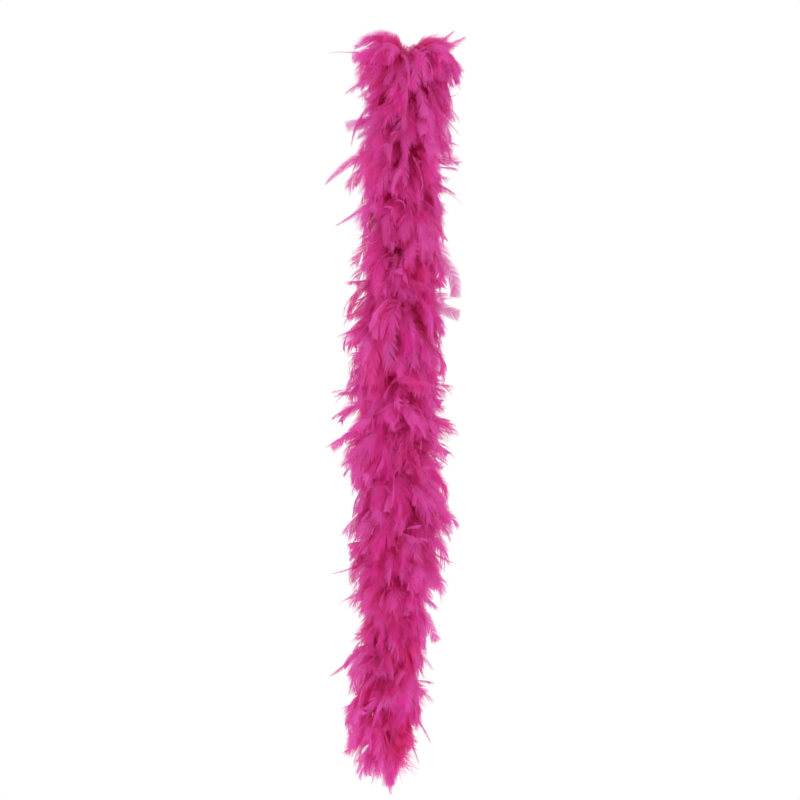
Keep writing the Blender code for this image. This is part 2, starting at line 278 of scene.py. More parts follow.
class Quills:
    """The centre lines of some feathers: points, directions along them and across their faces. width is
    each feather's width beside the usual."""

    def __init__(self, points, roll, twist, tint, width=None):
        self.points = points
        self.tint = tint
        self.width = width
        self.along = unit(np.gradient(points, axis=1))
        self.lengths = np.linalg.norm(np.diff(points, axis=1), axis=2).sum(1)
        flat = self.along[..., :2]
        level = unit(flat + 1e-9)
        lift = np.linalg.norm(flat, axis=-1)
        up = np.concatenate((-self.along[..., 2:] * level, lift[..., None]), axis=-1)
        up = unit(up)
        side = np.cross(self.along, up)
        steps = np.linspace(0, 1, points.shape[1])
        angle = (roll[:, None] + twist[:, None] * steps)[..., None]
        self.face = np.cos(angle) * up + np.sin(angle) * side


def drooping_lines(roots, headings, lengths, rise, droop, swerve, bend):
    """Lines that leave the cord at the rise angle and turn to the droop angle, mostly near the root."""
    steps = (np.arange(QUILL_POINTS - 1) + 0.5) / (QUILL_POINTS - 1)
    eased = 1 - (1 - steps[None]) ** bend[:, None]
    slope = rise[:, None] + (droop - rise)[:, None] * eased
    heading = headings[:, None] + swerve[:, None] * steps[None] ** 2
    way = np.stack((np.cos(slope) * np.cos(heading), np.cos(slope) * np.sin(heading), np.sin(slope)), -1)
    way *= lengths[:, None, None] / (QUILL_POINTS - 1)
    return roots[:, None] + np.concatenate((np.zeros_like(way[:, :1]), np.cumsum(way, axis=1)), axis=1)


def outline_reach(heights, headings):
    """How far the coat stands out at these heights and headings."""
    table = np.array(OUTLINE)[::-1]
    left = np.interp(heights, table[:, 0], table[:, 1])
    right = np.interp(heights, table[:, 0], table[:, 2])
    reach = blend_values(left, right, (1 + np.cos(headings)) / 2)
    return reach * (1 - 0.08 * np.sin(headings) ** 2)


def fitted(lines, headings, fullness):
    """The lines drawn in or out sideways so that each reaches its share of the outline."""
    reach = np.hypot(lines[..., 0], lines[..., 1])
    furthest = reach.argmax(1)
    heights = lines[np.arange(len(lines)), furthest, 2]
    limit = outline_reach(np.minimum(heights, lines[:, -1, 2] + 0.02), headings) * fullness
    scale = np.clip(limit / np.maximum(reach.max(1), 1e-6), 0.05, 1.3)
    root = lines[:, :1, :2]
    lines = lines.copy()
    lines[..., :2] = root + (lines[..., :2] - root) * scale[:, None, None]
    drop = lines[:, 0, 2] - lines[..., 2].min(1)
    room = lines[:, 0, 2] - LOWEST_TIP
    shorter = np.minimum(1, room / np.maximum(drop, 1e-6))
    return lines[:, :1] + (lines - lines[:, :1]) * shorter[:, None, None]


def cord_points(heights, headings):
    """The quills' roots, on the cord."""
    return np.stack((ROOT_RADIUS * np.cos(headings), ROOT_RADIUS * np.sin(headings), heights), -1)


def slanted(heading, slope):
    """The direction at a heading in radians and a slope in degrees."""
    level, rise = math.cos(math.radians(slope)), math.sin(math.radians(slope))
    return np.array((level * math.cos(heading), level * math.sin(heading), rise))


def bezier_lines(rows):
    """Lines for feathers placed one by one. Each row has the root's height, the tip, and the slopes at
    the root and at the tip."""
    lines = []
    for root_height, tip, start_slope, end_slope in rows:
        heading = math.atan2(tip[1], tip[0])
        start = cord_points(np.array(root_height), np.array(heading))
        end = np.array(tip)
        handle = np.linalg.norm(end - start) * 0.42
        first, last = slanted(heading, start_slope), slanted(heading, end_slope)
        corners = (start, start + first * handle, end - last * handle, end)
        share = np.linspace(0, 1, QUILL_POINTS)[:, None]
        rest = 1 - share
        weights = (rest**3, 3 * share * rest**2, 3 * share**2 * rest, share**3)
        lines.append(sum(weight * corner for weight, corner in zip(weights, corners)))
    return np.array(lines)


# ---- Barbs ----------------------------------------------------------------------------------------------

# Barbs on each side, the share of the quill under the vane, half the vane's width, the barbs' angles to
# the quill at the vane's foot and tip, points along a barb, clumps that the barbs gather in and how much
# they gather, a barb's width beside the gap it fills, how far its tip cups and sags as shares of its
# length, whether the vane ends square, how uneven the slants (degrees) and lengths are, and the loose
# barbs of down under the vane.
KINDS = {
    "flat": {
        "barbs": 46, "vane_from": 0.34, "half_width": 0.0125, "angles": (46, 36), "steps": 4,
        "clumps": 6, "gather": 0.22, "cover": 1.10, "cup": 0.14, "droop": 0.04, "squared": True,
        "slant_noise": 3.0, "length_noise": 0.06, "down_barbs": 18,
    },
    "pointed": {
        "barbs": 50, "vane_from": 0.20, "half_width": 0.0145, "angles": (46, 17), "steps": 4,
        "clumps": 8, "gather": 0.20, "cover": 1.00, "cup": 0.16, "droop": 0.06, "squared": False,
        "slant_noise": 3.0, "length_noise": 0.07, "down_barbs": 18,
    },
    "plume": {
        "barbs": 64, "vane_from": 0.12, "half_width": 0.0235, "angles": (54, 20), "steps": 5,
        "clumps": 12, "gather": 0.24, "cover": 0.84, "cup": 0.20, "droop": 0.16, "squared": False,
        "slant_noise": 4.0, "length_noise": 0.11, "down_barbs": 10,
    },
    "sheer": {
        "barbs": 46, "vane_from": 0.40, "half_width": 0.0125, "angles": (44, 38), "steps": 4,
        "clumps": 4, "gather": 0.08, "cover": 0.95, "cup": 0.06, "droop": 0.01, "squared": True,
        "slant_noise": 1.0, "length_noise": 0.02, "down_barbs": 18,
    },
    "blade": {
        "barbs": 46, "vane_from": 0.30, "half_width": 0.0095, "angles": (34, 14), "steps": 4,
        "clumps": 4, "gather": 0.12, "cover": 0.90, "cup": 0.10, "droop": 0.02, "squared": False,
        "slant_noise": 1.5, "length_noise": 0.03, "down_barbs": 18,
    },
}
COAT_KINDS = ("flat", "pointed", "plume")


def vane_outline(kind, share):
    """The vane's width at a share of its length, beside its widest."""
    opening = np.minimum(1, (share / 0.22 + 0.12) ** 0.7)
    if kind["squared"]:
        return opening
    return opening * (1 - 0.86 * share**2.1)


def add_barbs(piece, quills, points, across, half, shade, along):
    """Each barb as a strip along its points, which are (feathers, barbs, steps, 3)."""
    grid = np.stack((points - across * half, points + across * half), axis=3)
    marks = np.empty(grid.shape)
    marks[..., 0] = quills.tint[:, None, None, None]
    marks[..., 1] = shade[..., None, None]
    marks[..., 2] = along[..., None, None]
    rows = (-1, *grid.shape[2:])
    piece.add(grid.reshape(rows), False, marks.reshape(rows))


def add_vane(piece, quills, kind, side, rng):
    """One vane of each feather: a row of barbs that leave the quill forwards and outwards."""
    count, barbs, steps = len(quills.points), kind["barbs"], kind["steps"]
    share = (np.arange(barbs) + 0.5) / barbs + rng.normal(0, 0.15 / barbs, (count, barbs))
    share = np.clip(share, 0.002, 0.998)
    along = kind["vane_from"] + (1 - kind["vane_from"]) * share
    base = at_shares(quills.points, along)
    ahead = unit(at_shares(quills.along, along))
    face = unit(at_shares(quills.face, along))
    out = np.cross(ahead, face) * side
    length = quills.lengths[:, None]

    clump_place = share * kind["clumps"] + rng.uniform(0, 1, (count, 1))
    clump = clump_place.astype(int)
    within = clump_place - clump - 0.5
    choices = rng.normal(0, 1, (count, kind["clumps"] + 2, 3))
    chosen = np.take_along_axis(choices, clump[..., None], axis=1)

    slant = np.radians(blend_values(kind["angles"][0], kind["angles"][1], share**1.3))
    slant = np.maximum(slant + math.radians(kind["slant_noise"]) * chosen[..., 0], math.radians(9))
    width = kind["half_width"] * quills.width[:, None] * vane_outline(kind, share)
    uneven = chosen[..., 1] + 0.7 * rng.normal(0, 1, share.shape)
    width = width * (1 + kind["length_noise"] * uneven)
    reach = width / np.sin(slant)
    if kind["squared"]:
        left_over = (1 - along) * length + rng.uniform(0.0005, 0.0030, share.shape)
        reach = np.minimum(reach, left_over / np.cos(slant))
    reach = np.clip(reach, 0.0015, 0.038)

    outward = np.linspace(0, 1, steps)[None, None, :, None]
    way = (np.cos(slant)[..., None] * ahead + np.sin(slant)[..., None] * out)[:, :, None]
    reach = reach[..., None, None]
    clump_length = (1 - kind["vane_from"]) * length / kind["clumps"]
    gathered = (-within * clump_length * kind["gather"])[..., None, None]
    lift = (0.012 * kind["slant_noise"] * chosen[..., 2])[..., None, None]
    points = base[:, :, None] + way * reach * outward
    points = points + ahead[:, :, None] * (gathered * outward**2 + reach * 0.10 * outward**2)
    points = points + face[:, :, None] * reach * (lift * outward - kind["cup"] * outward**2)
    points = points - np.array((0, 0, 1)) * reach * kind["droop"] * outward**2

    spacing = (1 - kind["vane_from"]) * length / barbs * np.sin(slant) * kind["cover"]
    taper = np.interp(np.linspace(0, 1, steps), (0, 0.5, 0.8, 1), (1, 0.90, 0.60, 0.18))
    half = np.clip(spacing, 0.0005, 0.004)[..., None, None] / 2 * taper[None, None, :, None]
    tilt = rng.normal(0, 0.16, share.shape)[..., None, None]
    across = unit(np.cross(face[:, :, None], way))
    across = np.cos(tilt) * across + np.sin(tilt) * face[:, :, None]
    shade = 0.5 + 0.16 * chosen[..., 2] + rng.normal(0, 0.16, share.shape)
    add_barbs(piece, quills, points, across, half, np.clip(shade, 0, 1), along)


def add_down(piece, quills, barbs, ends, rng):
    """Loose wavy barbs on both sides of the quill, between two shares of its length."""
    count, steps = len(quills.points), 6
    share = np.sort(rng.uniform(ends[0], ends[1], (count, barbs)), axis=1)
    base = at_shares(quills.points, share)
    ahead = unit(at_shares(quills.along, share))
    face = unit(at_shares(quills.face, share))
    side = np.where(np.arange(barbs) % 2 == 0, 1.0, -1.0)[None, :, None]
    out = unit(np.cross(ahead, face) * side + face * rng.normal(0, 0.55, share.shape)[..., None])
    slant = np.radians(rng.uniform(38, 80, share.shape))[..., None]
    way = (np.cos(slant) * ahead + np.sin(slant) * out)[:, :, None]
    reach = rng.uniform(*DOWN_REACH, share.shape)[..., None, None]
    outward = np.linspace(0, 1, steps)[None, None, :, None]
    wave = rng.uniform(0, 6.28, share.shape)[..., None, None]
    waves = rng.uniform(3.0, 7.0, share.shape)[..., None, None]
    points = base[:, :, None] + way * reach * outward
    points = points + ahead[:, :, None] * reach * 0.30 * outward**2
    sway = np.sin(wave + waves * outward) - np.sin(wave)
    points = points + face[:, :, None] * reach * 0.10 * sway * outward
    points = points - np.array((0, 0, 1)) * reach * 0.25 * outward**2
    half = rng.uniform(0.00022, 0.00045, share.shape)[..., None, None]
    half = half * np.linspace(1, 0.35, steps)[None, None, :, None]
    across = unit(np.cross(face[:, :, None] + 0.3 * way, way))
    add_barbs(piece, quills, points, across, half, rng.uniform(0.2, 0.9, share.shape), share)


def add_quill(piece, quills):
    """The tapering shafts."""
    steps = quills.points.shape[1]
    radius = np.interp(np.linspace(0, 1, steps), (0, 0.15, 1), (0.00085, 0.0007, 0.00014))
    angle = np.arange(QUILL_SIDES) * 2 * math.pi / QUILL_SIDES
    side = np.cross(quills.along, quills.face)
    ring = (
        np.cos(angle)[None, None, :, None] * quills.face[:, :, None]
        + np.sin(angle)[None, None, :, None] * side[:, :, None]
    )
    grid = quills.points[:, :, None] + ring * radius[None, :, None, None]
    marks = np.empty(grid.shape)
    marks[..., 0] = quills.tint[:, None, None]
    marks[..., 1] = 0.5
    marks[..., 2] = np.linspace(0, 1, steps)[None, :, None]
    piece.add(grid, True, marks)


def add_core_fluff(piece, top, bottom, count, rng):
    """The down packed round the cord, out of which the feathers come."""
    if not count:
        return
    heights = rng.uniform(bottom, top, count)
    headings = rng.uniform(0, 2 * math.pi, count)
    lengths = rng.uniform(*FLUFF_LENGTHS, count)
    rise = np.radians(rng.uniform(-30, 50, count))
    droop = np.radians(rng.uniform(-85, -10, count))
    lines = drooping_lines(
        cord_points(heights, headings), headings, lengths, rise, droop, rng.normal(0, 0.9, count),
        rng.uniform(1, 2, count),
    )[:, ::2]
    quills = Quills(lines, rng.uniform(-3, 3, count), rng.uniform(-1, 1, count), rng.uniform(0, 1, count))
    half = rng.uniform(0.0006, 0.0016, count)[:, None, None]
    half = half * np.linspace(1, 0.3, lines.shape[1])[None, :, None]
    across = np.cross(quills.along, quills.face)
    grid = np.stack((lines - across * half, lines + across * half), axis=2)
    marks = np.empty(grid.shape)
    marks[..., 0] = quills.tint[:, None, None]
    marks[..., 1] = rng.uniform(0.2, 0.9, count)[:, None, None]
    marks[..., 2] = 0.1
    piece.add(grid, False, marks)


# ---- Materials ------------------------------------------------------------------------------------------


def node(tree, kind, **values):
    made = tree.nodes.new(kind)
    for name, value in values.items():
        setattr(made, name, value)
    return made


def mark(tree, name):
    return node(tree, "ShaderNodeAttribute", attribute_name=name).outputs["Fac"]


def mixed_colour(tree, factor, a, b, blend="MIX"):
    """A colour mix. factor, a and b are sockets or plain values."""
    mix = node(tree, "ShaderNodeMix", data_type="RGBA", blend_type=blend)
    for socket, value in ((mix.inputs[0], factor), (mix.inputs[6], a), (mix.inputs[7], b)):
        if isinstance(value, bpy.types.NodeSocket):
            tree.links.new(value, socket)
        else:
            socket.default_value = value
    return mix.outputs[2]


def ranged(tree, value, low, high, to_low, to_high):
    """value carried from one range to another."""
    made = node(tree, "ShaderNodeMapRange")
    tree.links.new(value, made.inputs["Value"])
    for name, number in zip(("From Min", "From Max", "To Min", "To Max"), (low, high, to_low, to_high)):
        made.inputs[name].default_value = number
    return made.outputs["Result"]


def noise(tree, scale, detail=3.0, stretch=(1, 1, 1)):
    place = node(tree, "ShaderNodeTexCoord").outputs["Object"]
    mapping = node(tree, "ShaderNodeMapping")
    mapping.inputs["Scale"].default_value = stretch
    tree.links.new(place, mapping.inputs["Vector"])
    made = node(tree, "ShaderNodeTexNoise")
    made.inputs["Scale"].default_value = scale
    made.inputs["Detail"].default_value = detail
    tree.links.new(mapping.outputs["Vector"], made.inputs["Vector"])
    return made.outputs["Fac"]


def bumped(tree, height, strength, distance):
    bump = node(tree, "ShaderNodeBump")
    bump.inputs["Strength"].default_value = strength
    bump.inputs["Distance"].default_value = distance
    tree.links.new(height, bump.inputs["Height"])
    return bump.outputs["Normal"]


def new_material(name):
    material = bpy.data.materials.new(name)
    material.use_nodes = True
    tree = material.node_tree
    tree.nodes.clear()
    output = tree.nodes.new("ShaderNodeOutputMaterial")
    shader = tree.nodes.new("ShaderNodeBsdfPrincipled")
    return material, tree, output, shader


# Painted light: a pale lilac that stands in for white light showing through the sparse barbs of sheer
# feathers.
PAINTED_SEE_THROUGH_PALE = (0.70, 0.30, 0.46, 1)


def feather_material(name, deep, bright, red_and_core_shade, through, sheen, rough, light_through):
    """Dyed barbs: each feather and each barb takes the dye a little differently, a painted shade makes the
    colour redder beside the cord, and a barb lets part of the light through. A tint over 1 mixes in a
    painted pale that stands in for white light showing through sparse barbs."""
    material, tree, output, shader = new_material(name)
    dye = mixed_colour(tree, ranged(tree, mark(tree, "tint"), 0, 1, 0, 1), deep, bright)
    patches = ranged(tree, noise(tree, 18, 2), 0.40, 0.62, 0.0, 0.70)
    dye = mixed_colour(tree, patches, dye, bright)
    reddened = ranged(tree, noise(tree, 11, 2), 0.52, 0.68, 0.0, 0.50)
    dye = mixed_colour(tree, reddened, dye, red_and_core_shade)
    # Painted shade: redder towards the cord, for the saturated shade deep among the feathers.
    dye = mixed_colour(tree, ranged(tree, mark(tree, "painted_core_shade"), 0.10, 0.80, 0.0, 0.92), dye, red_and_core_shade)
    # Painted light: tints over 1 turn paler, for white light showing through sparse barbs.
    dye = mixed_colour(tree, ranged(tree, mark(tree, "tint"), 1, 2, 0, 1), dye, PAINTED_SEE_THROUGH_PALE)
    streak = ranged(tree, mark(tree, "shade"), 0, 1, 0.91, 1.04)
    grey = node(tree, "ShaderNodeCombineColor")
    for channel in grey.inputs[:3]:
        tree.links.new(streak, channel)
    dye = mixed_colour(tree, 1.0, dye, grey.outputs[0], "MULTIPLY")
    tree.links.new(dye, shader.inputs["Base Color"])
    roughness = ranged(tree, noise(tree, 160, 3), 0.3, 0.7, rough - 0.08, rough + 0.08)
    tree.links.new(roughness, shader.inputs["Roughness"])
    shader.inputs["Specular IOR Level"].default_value = 0.28
    shader.inputs["Sheen Weight"].default_value = sheen
    shader.inputs["Sheen Roughness"].default_value = 0.45
    shader.inputs["Sheen Tint"].default_value = (1.0, 0.72, 0.90, 1)
    grain = bumped(tree, noise(tree, 900, 2), 0.25, 0.0004)
    tree.links.new(grain, shader.inputs["Normal"])
    glow = tree.nodes.new("ShaderNodeBsdfTranslucent")
    tree.links.new(mixed_colour(tree, 0.5, dye, through), glow.inputs["Color"])
    both = tree.nodes.new("ShaderNodeMixShader")
    both.inputs[0].default_value = light_through
    tree.links.new(shader.outputs[0], both.inputs[1])
    tree.links.new(glow.outputs[0], both.inputs[2])
    tree.links.new(both.outputs[0], output.inputs["Surface"])
    return material


def fibre_material(name, dark, light, rough, fineness, stretch):
    """Spun cotton: fine long fibres, with paler fuzz on them."""
    material, tree, output, shader = new_material(name)
    fibres = noise(tree, fineness, 4, stretch)
    dye = mixed_colour(tree, ranged(tree, fibres, 0.3, 0.7, 0, 1), dark, light)
    dye = mixed_colour(tree, ranged(tree, noise(tree, 60, 2), 0.4, 0.7, 0, 0.4), dye, dark)
    tree.links.new(dye, shader.inputs["Base Color"])
    tree.links.new(ranged(tree, fibres, 0.3, 0.7, rough - 0.1, rough + 0.08), shader.inputs["Roughness"])
    tree.links.new(bumped(tree, fibres, 0.6, 0.0003), shader.inputs["Normal"])
    shader.inputs["Specular IOR Level"].default_value = 0.2
    shader.inputs["Sheen Weight"].default_value = 0.4
    shader.inputs["Sheen Roughness"].default_value = 0.5
    tree.links.new(shader.outputs[0], output.inputs["Surface"])
    return material


VANES = feather_material(
    "dyed_vanes",
    deep=(0.96, 0.046, 0.480, 1),
    bright=(0.96, 0.165, 0.660, 1),
    red_and_core_shade=(0.98, 0.036, 0.290, 1),
    through=(0.97, 0.24, 0.72, 1),
    sheen=0.16, rough=0.62, light_through=0.52,
)
DOWN = feather_material(
    "dyed_down",
    deep=(0.97, 0.046, 0.440, 1),
    bright=(0.97, 0.120, 0.640, 1),
    red_and_core_shade=(0.99, 0.032, 0.250, 1),
    through=(0.98, 0.18, 0.66, 1),
    sheen=0.18, rough=0.70, light_through=0.52,
)
QUILL = feather_material(
    "dyed_quills",
    deep=(0.46, 0.055, 0.230, 1),
    bright=(0.66, 0.110, 0.380, 1),
    red_and_core_shade=(0.60, 0.024, 0.140, 1),
    through=(0.60, 0.10, 0.32, 1),
    sheen=0.05, rough=0.38, light_through=0.15,
)
CORD = fibre_material(
    "twisted_cotton", (0.30, 0.012, 0.090, 1), (0.56, 0.040, 0.210, 1), 0.85, 700, (1, 1, 0.25)
)
THREAD = fibre_material(
    "waxed_thread", (0.36, 0.016, 0.120, 1), (0.60, 0.050, 0.250, 1), 0.60, 1500, (1, 1, 0.5)
)


# ---- Feathers link by link ------------------------------------------------------------------------------


def link_of(height):
    """The number, from 0, of the link that this height is on."""
    return sum(height < hinge for hinge in HINGES)


def attach(piece, link):
    """The piece keeps its place, unparented, or rides on the last link."""
    if link < len(HINGES):
        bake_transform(piece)
    else:
        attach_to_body(piece, BODIES[link])


def coat(rng, tufts, length_range, rise_range, fullness_range, shares):
    """One layer of the coat, all the way down the cord: the roots' heights, the lines, the kinds and the
    tints. The feathers of a tuft lie together, and neighbouring tufts fall different ways. shares are
    those of the COAT_KINDS."""
    count = tufts * TUFT

    def shared(values, spread):
        """The tufts' values, each given to its feathers with a small spread."""
        return np.repeat(values, TUFT) + rng.normal(0, spread, count)

    heights = np.linspace(CORD_TOP - 0.006, CORD_END + 0.045, tufts)
    heights = np.clip(shared(heights, 0.010), CORD_END + 0.035, CORD_TOP - 0.003)
    headings = shared(np.arange(tufts) * TURN + rng.normal(0, 0.3, tufts), 0.20)
    lengths = shared(rng.uniform(*length_range, tufts), 0.009)
    rise = np.radians(shared(rng.uniform(*rise_range, tufts), 8))
    standing = rng.random(tufts) < STANDING_SHARE
    slopes = np.where(standing, rng.uniform(-50, -5, tufts), rng.uniform(-98, -52, tufts))
    droop = np.radians(shared(slopes, 7))
    swerve = shared(rng.normal(0, 0.90, tufts), 0.22)
    bend = np.clip(shared(rng.uniform(0.9, 2.0, tufts), 0.2), 0.7, 2.4)
    lines = drooping_lines(cord_points(heights, headings), headings, lengths, rise, droop, swerve, bend)
    reaching = rng.random(tufts) < FULL_SHARE
    full = np.where(reaching, rng.uniform(0.98, 1.08, tufts), rng.uniform(*fullness_range, tufts))
    lines = fitted(lines, headings, shared(full, 0.07))
    tints = np.clip(shared(rng.uniform(0, 1, tufts), 0.18), 0, 1)
    kinds = rng.choice(COAT_KINDS, count, p=shares)
    in_tail = (lines[:, -1, 2] < TAIL_FROM) & (rng.random(count) < 0.75)
    return heights, lines, np.where(in_tail, "pointed", kinds), tints


def whole_coat(rng):
    """The long feathers, and the shorter ones inside them."""
    outer = coat(rng, FEATHERS // TUFT, FEATHER_LENGTHS, (-5, 45), (0.62, 0.98), (0.09, 0.37, 0.54))
    inner = coat(rng, INNER_FEATHERS // TUFT, INNER_LENGTHS, (-20, 60), (0.50, 0.85), (0.05, 0.15, 0.80))
    return outer, inner


IN_FRONT_OR_BEHIND = (-1.57, 1.57)  # headings


def crown(rng):
    """The feathers at the top end. They stand up and apart to the left and the right, and lie low in
    front and behind, which leaves a notch over the cord."""
    count = CROWN_FEATHERS
    order = np.arange(count)
    headings = np.where(order % 2 == 0, 0.0, math.pi) + rng.normal(0, 0.85, count)
    before_or_behind = rng.choice(IN_FRONT_OR_BEHIND, count) + headings * 0.3
    headings = np.where(order % 4 < 3, headings, before_or_behind)
    aside = np.abs(np.cos(headings))
    rise = np.radians(blend_values(rng.uniform(25, 60, count), rng.uniform(38, 80, count), aside))
    droop = np.radians(blend_values(-88, rng.uniform(-80, -25, count), aside))
    lengths = rng.uniform(*CROWN_LENGTHS, count)
    heights = np.linspace(CORD_TOP - 0.001, CORD_TOP - 0.022, count)
    lines = drooping_lines(
        cord_points(heights, headings), headings, lengths, rise, droop, rng.normal(0, 0.35, count),
        rng.uniform(0.8, 1.5, count),
    )
    lines = fitted(lines, headings, rng.uniform(0.66, 1.06, count))
    kinds = rng.choice(COAT_KINDS, count, p=(0.16, 0.28, 0.56))
    kinds = np.where((aside < 0.6) & (kinds == "flat"), "pointed", kinds)
    return heights, lines, kinds, rng.uniform(0, 1, count)


# Feathers that leave the coat, one by one: kind, width beside the usual, roll in degrees, root's
# height, tip, and the slopes at the root and at the tip.
STRAYS = (
    ("blade", 0.45, 20, -0.034, (-0.184, -0.010, -0.008), 16, -6),
    ("pointed", 1.00, 20, -0.022, (-0.030, -0.060, -0.006), 72, -50),
    ("pointed", 1.00, -20, -0.022, (0.032, -0.060, -0.004), 72, -50),
    ("pointed", 1.00, 20, -0.022, (-0.034, 0.060, -0.006), 72, -50),
    ("pointed", 1.00, -20, -0.022, (0.030, 0.060, -0.004), 72, -50),
    ("plume", 1.10, 0, -0.024, (0.014, -0.074, -0.070), 30, -84),
    ("plume", 1.10, 10, -0.024, (-0.020, -0.080, -0.084), 34, -84),
    ("pointed", 1.30, -10, -0.025, (0.002, -0.060, -0.090), 28, -88),
    ("plume", 1.10, 0, -0.024, (-0.014, 0.074, -0.074), 30, -84),
    ("pointed", 1.30, 10, -0.024, (0.016, 0.070, -0.086), 34, -84),
    ("flat", 1.10, 80, -0.040, (-0.132, -0.030, -0.022), 20, -12),
    ("pointed", 1.30, 55, -0.024, (-0.084, -0.020, 0.026), 74, -30),
    ("pointed", 1.40, 70, -0.024, (-0.104, -0.030, 0.020), 70, -34),
    ("pointed", 1.30, 75, -0.026, (-0.124, -0.020, 0.006), 66, -36),
    ("flat", 1.30, 60, -0.026, (-0.060, -0.040, 0.022), 76, -20),
    ("blade", 0.90, 75, -0.034, (0.106, -0.020, 0.047), 42, 44),
    ("blade", 1.40, 70, -0.036, (0.132, -0.010, 0.034), 30, 30),
    ("pointed", 1.30, 70, -0.026, (0.080, -0.030, 0.022), 68, -22),
    ("pointed", 1.30, 80, -0.026, (0.104, -0.020, 0.014), 60, -24),
    ("pointed", 1.20, 60, -0.026, (0.058, -0.040, 0.024), 66, -10),
    ("blade", 0.60, 30, -0.040, (0.127, -0.020, -0.090), 25, -62),
    ("blade", 0.60, 40, -0.090, (0.122, -0.020, -0.098), 10, 34),
    ("blade", 0.50, 40, -0.140, (0.126, -0.020, -0.196), 14, -52),
    ("blade", 0.60, 50, -0.170, (0.112, -0.020, -0.262), 10, -66),
    ("blade", 0.80, 60, -0.110, (-0.128, -0.020, -0.226), 4, -84),
    ("plume", 0.60, 60, -0.060, (-0.144, -0.030, -0.106), 10, -35),
    ("sheer", 1.20, 90, -0.160, (-0.142, -0.020, -0.184), 8, -8),
    ("blade", 1.30, 75, -0.230, (-0.186, -0.030, -0.322), -2, -48),
    ("blade", 1.00, 60, -0.350, (-0.156, -0.040, -0.420), 0, -30),
    ("blade", 0.40, 20, -0.330, (0.140, -0.020, -0.362), 12, -45),
    ("sheer", 1.30, 85, -0.480, (0.128, -0.020, -0.582), 30, -98),
    ("sheer", 1.25, 90, -0.590, (0.140, -0.030, -0.626), 6, -14),
    ("blade", 0.60, 40, -0.760, (-0.150, -0.030, -0.842), 2, -50),
    ("blade", 0.60, 60, -0.880, (-0.168, -0.020, -0.946), 4, -28),
    ("blade", 0.60, 30, -0.890, (0.148, -0.020, -0.908), 8, -8),
    ("blade", 0.60, 30, -0.920, (0.136, -0.020, -0.962), 6, -40),
    ("sheer", 1.25, 88, -1.010, (0.124, -0.040, -1.146), 16, -86),
    ("flat", 1.30, 80, -1.000, (0.116, -0.040, -1.120), 12, -84),
    ("flat", 1.00, 80, -1.300, (0.104, -0.040, -1.398), 4, -66),
    ("flat", 1.00, 70, -0.860, (-0.156, -0.030, -0.948), 2, -34),
    ("blade", 0.60, 50, -1.170, (0.142, -0.020, -1.214), 6, -18),
    ("blade", 0.60, 40, -1.190, (0.128, -0.030, -1.266), 4, -50),
    ("blade", 0.60, 45, -1.210, (-0.146, -0.020, -1.246), 2, -12),
    ("blade", 1.00, 80, -1.400, (-0.142, -0.030, -1.486), -4, -30),
    ("flat", 1.15, 85, -1.510, (-0.090, -0.050, -1.652), -8, -84),
    ("blade", 0.50, 40, -1.560, (0.098, -0.020, -1.640), 2, -60),
    ("blade", 0.90, 70, -1.590, (-0.046, -0.030, -1.716), -30, -80),
    ("blade", 1.30, 80, -1.630, (0.006, -0.010, -1.764), -74, -58),
    ("blade", 1.00, 60, -1.630, (-0.014, -0.020, -1.748), -64, -76),
    ("blade", 1.00, 60, -1.620, (-0.040, -0.030, -1.740), -50, -72),
    ("pointed", 0.70, 60, -1.620, (-0.028, 0.020, -1.736), -56, -80),
    ("blade", 0.80, 70, -1.620, (-0.058, 0.020, -1.722), -40, -72),
    ("blade", 0.50, 30, -1.600, (0.072, -0.020, -1.690), -20, -66),
)


def dress_link(label, link, groups, fluff, rng):
    """Builds the pieces of one link, or of the crown. groups is a list of (kind, quills), and fluff is
    the number of strands of down round the cord."""
    vanes, down, shafts = Piece(), Piece(), Piece()
    for name, quills in groups:
        kind = KINDS[name]
        for side in (-1, 1):
            add_vane(vanes, quills, kind, side, rng)
        ends = (DOWN_FROM, kind["vane_from"] + DOWN_PAST)
        add_down(down, quills, kind["down_barbs"], ends, rng)
        add_quill(shafts, quills)
    top = HINGES[link - 1] if link else CORD_TOP
    bottom = HINGES[link] if link < len(HINGES) else CORD_END + BARE_TAIL
    add_core_fluff(down, top, bottom, fluff, rng)
    number = f"{link + 1:02d}"
    made = (
        (vanes.build(f"{label}_vanes", VANES, "feather"), f"feather_whorl_{number}"),
        (shafts.build(f"{label}_quills", QUILL, "feather"), f"feather_whorl_{number}"),
        (down.build(f"{label}_down", DOWN, "down"), f"down_tuft_{number}"),
    )
    for piece, stood_for in made:
        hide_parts(stood_for)
        attach(piece, link)


